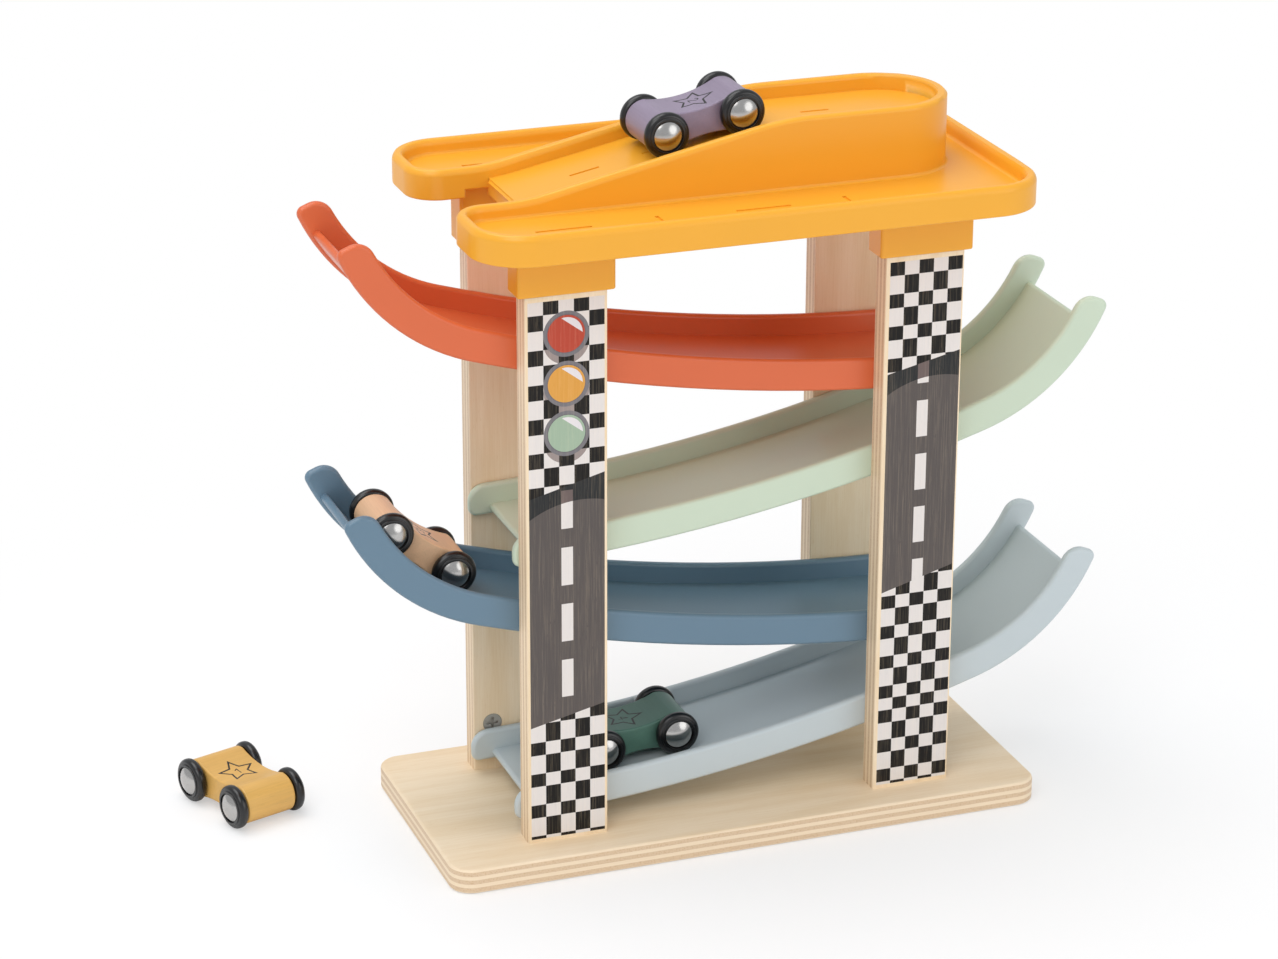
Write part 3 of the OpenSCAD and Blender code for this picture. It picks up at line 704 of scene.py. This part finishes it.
class TRACKTOY_OT_deck(bpy.types.Operator):
    """Round and colour the moulded deck"""
    bl_idname = "tracktoy.deck"
    bl_label = "Top deck"

    def execute(self, context):
        bm = merged_copy("top_deck")
        round_deck_rim(bm)
        fill_foot(bm, DECK_FLOOR, sizes().deck_foot)
        ease(bm, sizes().deck_edge, 3, lambda edge: edge.calc_length() > 0 and not in_mark(edge), sharp=24)
        material = shared("Yellow-orange plastic", plastic, tuple(colours().deck))
        finish_piece(bm, "top_deck_moulding", material, "toy", ["top_deck"], sharp=28)
        return {"FINISHED"}


DECK_FLOOR, DECK_RIM, RIM_FADE = 285.0, 292.5, 297.0
DECK_EASE, RIM_TOP_DROP, RIM_SIDE_DROP = 1.2, 1.0, 1.9
SQUARE_FOLD, FOOT_FOLD = 75, -60
RAMP_HALF = 23.5
LANE_MARK_Y, LANE_MARK_REACH, LANE_MARK_END = 49, 6, 100


def even_bend(bm):
    """Eases the square-topped stretch of the ramp's walls like the rim that it joins."""
    square = [e for e in bm.edges if fold(e) > SQUARE_FOLD
              and all(v.co.z > (DECK_RIM - 0.1) * MM and abs(v.co.y) > RAMP_HALF * MM for v in e.verts)
              and max(f.normal.z for f in e.link_faces) > 0.9
              and max(abs(f.normal.y) for f in e.link_faces) > 0.99]
    bevel(bm, square, DECK_EASE * MM, 1)
    bmesh.ops.remove_doubles(bm, verts=bm.verts, dist=1e-6)
    fins = {f for e in bm.edges if len(e.link_faces) == 1 for f in e.link_faces}
    bmesh.ops.delete(bm, geom=list(fins), context="FACES_ONLY")
    drop_wires(bm)
    bm.normal_update()


def round_deck_rim(bm):
    """Lowers the eased top of the low rim to a full round, fading out where the ramp's walls rise."""
    even_bend(bm)
    for vert in bm.verts:
        z = vert.co.z / MM
        lean = [face.normal.z for face in vert.link_faces]
        if DECK_RIM - 1.6 < z < RIM_FADE and any(0.55 < n < 0.85 for n in lean):
            drop = RIM_TOP_DROP if any(n > 0.93 for n in lean) else RIM_SIDE_DROP
            vert.co.z -= drop * min(1, (RIM_FADE - z) / (RIM_FADE - DECK_RIM)) * MM
    bm.normal_update()


def fill_foot(bm, floor, radius):
    """Rounds the inward edges that lie at the height of a floor."""
    bevel(bm, [e for e in bm.edges if fold(e) < FOOT_FOLD
               and all(abs(v.co.z / MM - floor) < 0.02 for v in e.verts)], radius, 3)


def in_mark(edge):
    """True where an edge belongs to one of the deck's shallow marks."""
    x, y, z = (edge.verts[0].co + edge.verts[1].co) / 2 / MM
    lane = (abs(abs(y) - LANE_MARK_Y) < LANE_MARK_REACH and abs(x) < LANE_MARK_END
            and DECK_FLOOR - 1 < z < DECK_FLOOR + 0.5)
    slope = abs(y) < 23 and z > 286 and x > -85
    return lane or slope


# The walls' outline is cut inside them, and the floor and the pegs reach into the walls.
TRACK_WALL, TRACK_HALF = 4.0, 32.65
WALL_CUT, FLOOR_TUCK, PEG_CUT, PEG_TUCK = 1.4, 1.2, 0.02, 0.5


def slab(track, at, low, high):
    """The outline that a plane across Y cuts from a track, drawn out between two other planes."""
    bm = merged_copy(track)
    bmesh.ops.bisect_plane(bm, geom=bm.verts[:] + bm.edges[:] + bm.faces[:], plane_co=(0, at * MM, 0),
                           plane_no=(0, 1, 0), clear_inner=True, clear_outer=True)
    bmesh.ops.remove_doubles(bm, verts=bm.verts, dist=2e-5)
    bmesh.ops.edgenet_fill(bm, edges=bm.edges[:])
    bmesh.ops.dissolve_limit(bm, angle_limit=math.radians(0.2), verts=bm.verts, edges=bm.edges)
    bmesh.ops.translate(bm, vec=(0, (low - at) * MM, 0), verts=bm.verts)
    grown = bmesh.ops.extrude_face_region(bm, geom=bm.faces[:], use_keep_orig=True)["geom"]
    bmesh.ops.translate(bm, vec=(0, (high - low) * MM, 0),
                        verts=[v for v in grown if isinstance(v, bmesh.types.BMVert)])
    bmesh.ops.recalc_face_normals(bm, faces=bm.faces)
    return bm


def round_rim(bm, radius):
    """Rounds every edge between a slab's sides and its rim."""
    sides = {f for f in bm.faces if abs(f.normal.y) > 0.99}
    rim = [e for e in bm.edges if len(sides.intersection(e.link_faces)) == 1]
    bevel(bm, rim, radius, 4)
    return bm


def track_pegs(track, side):
    """The round pegs on one wall that sit in the posts."""
    bm = merged_copy(track)
    start = side * TRACK_HALF
    cut = bmesh.ops.bisect_plane(
        bm, geom=bm.verts[:] + bm.edges[:] + bm.faces[:], plane_co=(0, (start + side * PEG_CUT) * MM, 0),
        plane_no=(0, side, 0), clear_inner=True)["geom_cut"]
    bmesh.ops.holes_fill(bm, edges=[e for e in cut if isinstance(e, bmesh.types.BMEdge)], sides=0)
    bmesh.ops.translate(bm, vec=(0, -side * PEG_TUCK * MM, 0),
                        verts=[v for v in cut if isinstance(v, bmesh.types.BMVert)])
    return bm


class TRACKTOY_OT_tracks(bpy.types.Operator):
    """Round and colour the four moulded tracks"""
    bl_idname = "tracktoy.tracks"
    bl_label = "Tracks"

    def execute(self, context):
        inner = TRACK_HALF - TRACK_WALL
        for track in TRACKS:
            walls = [round_rim(slab(track, side * (inner + WALL_CUT), side * inner, side * TRACK_HALF),
                               sizes().track_edge) for side in (-1, 1)]
            floor = slab(track, 0.0, -inner - FLOOR_TUCK, inner + FLOOR_TUCK)
            bm = joined(walls + [floor, track_pegs(track, -1), track_pegs(track, 1)])
            material = shared(track.replace("_", " ").capitalize() + " plastic", plastic,
                              tuple(getattr(colours(), track)))
            finish_piece(bm, track + "_moulding", material, "toy", [track])
        return {"FINISHED"}


def arc(centre, radius, start, end, steps):
    """Points of a round corner: centre is (from the axle, along the axle)."""
    return [(centre[0] + radius * math.cos(math.radians(start + (end - start) * i / steps)),
             centre[1] + radius * math.sin(math.radians(start + (end - start) * i / steps)))
            for i in range(steps + 1)]


TURN_STEPS = 56


def turn(profile, matrix, closed=True):
    """Spins a profile of (radius, along) points in mm about an axle."""
    bm = bmesh.new()
    points = [bm.verts.new((r * MM, 0, a * MM)) for r, a in profile]
    edges = [bm.edges.new(pair) for pair in zip(points, points[1:])]
    if closed:
        edges.append(bm.edges.new((points[-1], points[0])))
    bmesh.ops.spin(bm, geom=points + edges, axis=(0, 0, 1), cent=(0, 0, 0), angle=2 * math.pi,
                   steps=TURN_STEPS, use_merge=True)
    bmesh.ops.remove_doubles(bm, verts=bm.verts, dist=1e-6)
    bmesh.ops.recalc_face_normals(bm, faces=bm.faces)
    bmesh.ops.transform(bm, matrix=matrix, verts=bm.verts)
    return bm


def joined(parts):
    """One bmesh from several."""
    whole = bmesh.new()
    for part in parts:
        mesh = bpy.data.meshes.new("part")
        part.to_mesh(mesh)
        part.free()
        whole.from_mesh(mesh)
        bpy.data.meshes.remove(mesh)
    return whole


WHEEL_R, WHEEL_W, BORE_R = 9.75, 5.0, 1.52
SHOULDER, STEP, RING_R, SEAT_R, SEAT = 1.9, 0.55, 7.7, 6.6, 0.9
CAP_R, CAP_RISE, CAP_RIM = 6.1, 1.9, 0.5
AXLE_REACH, BORE_ZONE = 17, 3


def wheel_profile():
    """Tread with round shoulders, a raised ring and the seat of the cap, from inside out."""
    tread = WHEEL_W - STEP
    return ([(BORE_R, 0.0), (WHEEL_R - SHOULDER - 0.6, 0.0)]
            + arc((WHEEL_R - SHOULDER, SHOULDER), SHOULDER, -90, 0, 6)
            + arc((WHEEL_R - SHOULDER, tread - SHOULDER), SHOULDER, 0, 82, 6)
            + [(RING_R + 0.25, tread - 0.1), (RING_R, tread)]
            + arc((RING_R - 0.3, WHEEL_W - 0.3), 0.3, 0, 90, 3)
            + arc((SEAT_R + 0.2, WHEEL_W - 0.2), 0.2, 90, 180, 3)
            + [(SEAT_R, WHEEL_W - SEAT), (BORE_R, WHEEL_W - SEAT)])


def cap_profile():
    """Polished dome with a narrow rim."""
    dome = (CAP_R ** 2 + CAP_RISE ** 2) / (2 * CAP_RISE)
    centre = CAP_RIM + CAP_RISE - dome
    edge = math.degrees(math.atan2(CAP_RIM - centre, CAP_R))
    return [(0.0, 0.02), (CAP_R - 0.15, 0.02), (CAP_R, 0.15)] + arc((0.0, centre), dome, edge, 90, 14)


def frame_on(origin, outward):
    """Matrix that puts Z along outward at origin."""
    return Matrix.Translation(origin) @ outward.to_track_quat("Z", "Y").to_matrix().to_4x4()


class TRACKTOY_OT_cars(bpy.types.Operator):
    """Make the cars' bodies, wheels, axles and caps"""
    bl_idname = "tracktoy.cars"
    bl_label = "Cars"

    def execute(self, context):
        black = shared("Glossy black wheel", wheel_black)
        polished = shared("Polished steel", steel, "BDBBB8", 0.2, 0.1)
        for car in CARS:
            middle, back, right = car_axes(car)
            bm = merged_copy(car + "_car_body")
            ease(bm, sizes().body_edge, 3, lambda edge: not in_bore(edge, middle, back), sharp=40)
            paint = shared(car.capitalize() + " painted wood", painted_wood, car)
            finish_piece(bm, car + "_body_wood", paint, car + "_car", [car + "_car_body"])
            for end in ENDS:
                body = car + "_" + end + "_wheels"
                dress_node(car + "_" + end + "_axle", polished)
                domes = []
                for side, hand in (("left", -1), ("right", 1)):
                    outward = right * hand
                    node_name = "_".join((car, end, side, "wheel"))
                    inner = middle_of(node_name) - outward * (WHEEL_W / 2 * MM)
                    finish_piece(turn(wheel_profile(), frame_on(inner, outward)), node_name + "_turned",
                                 black, body, [node_name], sharp=45)
                    seat = inner + outward * ((WHEEL_W - SEAT) * MM)
                    domes.append(turn(cap_profile(), frame_on(seat, outward), closed=False))
                caps = car + "_" + end + "_caps"
                finish_piece(joined(domes), caps + "_polished", polished, body, [caps], sharp=45)
        return {"FINISHED"}


def middle_of(node_name):
    low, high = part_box(node_name)
    return (Vector(low) + Vector(high)) / 2


def in_bore(edge, middle, back):
    """True where an edge runs round one of the body's axle bores."""
    here = (edge.verts[0].co + edge.verts[1].co) / 2 - middle
    along = here.dot(back)
    across = back.cross(Vector((0, 0, 1))).normalized()
    rise = (here - back * along - across * here.dot(across)).length
    return math.hypot(abs(along) - AXLE_REACH * MM, rise) < BORE_ZONE * MM


# Stage, lights and camera


CAMERA = {"azimuth": -19.98, "elevation": 21.30, "roll": 0.17, "target": (-31.88, 0.0, 153.05),
          "distance": 1640.3, "focal_px": 3833.4, "width_px": 1278.0}


def add_area(name, place, target, size, power):
    data = bpy.data.lights.new(name, "AREA")
    data.shape = "DISK"
    data.size = size
    data.energy = power
    lamp = bpy.data.objects.new(name, data)
    lamp.location = place
    lamp.rotation_euler = (Vector(target) - Vector(place)).to_track_quat("-Z", "Y").to_euler()
    bpy.context.scene.collection.objects.link(lamp)


def show_camera(tree, lit, shown, share, output):
    """Sends lit to an output, and to camera rays a share of shown."""
    seen = Wire(tree, tree.nodes.new("ShaderNodeLightPath").outputs["Is Camera Ray"])
    mix = tree.nodes.new("ShaderNodeMixShader")
    for place, value in enumerate((seen * share, lit.outputs[0], shown.outputs[0])):
        plug(tree, value, mix.inputs[place])
    tree.links.new(mix.outputs[0], tree.nodes[output].inputs[0])


class TRACKTOY_OT_stage(bpy.types.Operator):
    """Set up the pale floor, the soft light and the camera"""
    bl_idname = "tracktoy.stage"
    bl_label = "Stage"

    def execute(self, context):
        scene = context.scene
        bm = bmesh.new()
        bmesh.ops.create_grid(bm, x_segments=1, y_segments=1, size=6.0)
        mesh = bpy.data.meshes.new("floor")
        bm.to_mesh(mesh)
        bm.free()
        floor = bpy.data.objects.new("floor", mesh)
        floor.location = (0, 0, -0.0002)
        scene.collection.objects.link(floor)
        material, tree, shader, place = new_material("Pale floor")
        shader.inputs["Base Color"].default_value = (0.94, 0.94, 0.94, 1)
        shader.inputs["Roughness"].default_value = 0.9
        shader.inputs["Specular IOR Level"].default_value = 0.1
        x, y, _ = split(tree, place)
        far = (ramp(tree, x.reach(y), 180.0, 460.0) * 0.55) + 0.45
        white = node(tree, "ShaderNodeEmission", Color=(1, 1, 1), Strength=1.0)
        show_camera(tree, shader, white, far, "Material Output")
        mesh.materials.append(material)

        world = bpy.data.worlds.new("Studio")
        scene.world = world
        world.use_nodes = True
        tree = world.node_tree
        light = tree.nodes["Background"]
        light.inputs["Color"].default_value = (0.95, 0.97, 1.0, 1)
        light.inputs["Strength"].default_value = 0.66
        pale = node(tree, "ShaderNodeBackground", Color=(1, 1, 1), Strength=1.0)
        show_camera(tree, light, pale, 1.0, "World Output")

        add_area("key", (-1.1, -1.3, 1.8), (0, 0, 0.12), 1.4, 13)
        add_area("fill", (1.2, -1.6, 0.8), (0, 0, 0.14), 1.4, 6.5)
        add_area("top", (-0.5, 0.3, 2.0), (0, 0, 0.1), 1.6, 17)

        c = CAMERA
        az, el, roll = (math.radians(c[k]) for k in ("azimuth", "elevation", "roll"))
        back = Vector((math.sin(az) * math.cos(el), -math.cos(az) * math.cos(el), math.sin(el)))
        right = Vector((math.cos(az), math.sin(az), 0))
        up = back.cross(right)
        tilted_right = right * math.cos(roll) + up * math.sin(roll)
        tilted_up = up * math.cos(roll) - right * math.sin(roll)
        data = bpy.data.cameras.new("camera")
        data.sensor_fit = "HORIZONTAL"
        data.sensor_width = 36.0
        data.lens = c["focal_px"] / c["width_px"] * data.sensor_width
        data.clip_start = 0.05
        data.clip_end = 30.0
        camera = bpy.data.objects.new("camera", data)
        turned = Matrix((tilted_right, tilted_up, back)).transposed().to_4x4()
        place = (Vector(c["target"]) + back * c["distance"]) * MM
        camera.matrix_world = Matrix.Translation(place) @ turned
        scene.collection.objects.link(camera)
        scene.camera = camera
        scene.view_settings.view_transform = "Standard"
        return {"FINISHED"}


class TRACKTOY_PT_panel(bpy.types.Panel):
    """Lists the toy's pieces, colours and sizes"""
    bl_label = "Track toy"
    bl_idname = "TRACKTOY_PT_panel"
    bl_space_type = "VIEW_3D"
    bl_region_type = "UI"
    bl_category = "Track toy"

    def draw(self, context):
        layout = self.layout
        for operator in OPERATORS:
            layout.operator(operator.bl_idname)
        for group in (context.scene.toy_colours, context.scene.toy_sizes):
            box = layout.box()
            for name in group.bl_rna.properties.keys():
                if name not in ("rna_type", "name"):
                    box.prop(group, name)


OPERATORS = (TRACKTOY_OT_stage, TRACKTOY_OT_base, TRACKTOY_OT_posts, TRACKTOY_OT_fasteners,
             TRACKTOY_OT_tracks, TRACKTOY_OT_deck, TRACKTOY_OT_cars)
CLASSES = (ToyColours, ToySizes) + OPERATORS + (TRACKTOY_PT_panel,)


def register():
    for cls in CLASSES:
        bpy.utils.register_class(cls)
    bpy.types.Scene.toy_colours = bpy.props.PointerProperty(type=ToyColours)
    bpy.types.Scene.toy_sizes = bpy.props.PointerProperty(type=ToySizes)


def unregister():
    del bpy.types.Scene.toy_sizes
    del bpy.types.Scene.toy_colours
    for cls in reversed(CLASSES):
        bpy.utils.unregister_class(cls)


def main():
    """Builds the stage and every piece."""
    register()
    for operator in OPERATORS:
        group, name = operator.bl_idname.split(".")
        getattr(getattr(bpy.ops, group), name)()


if __name__ == "__main__":
    main()
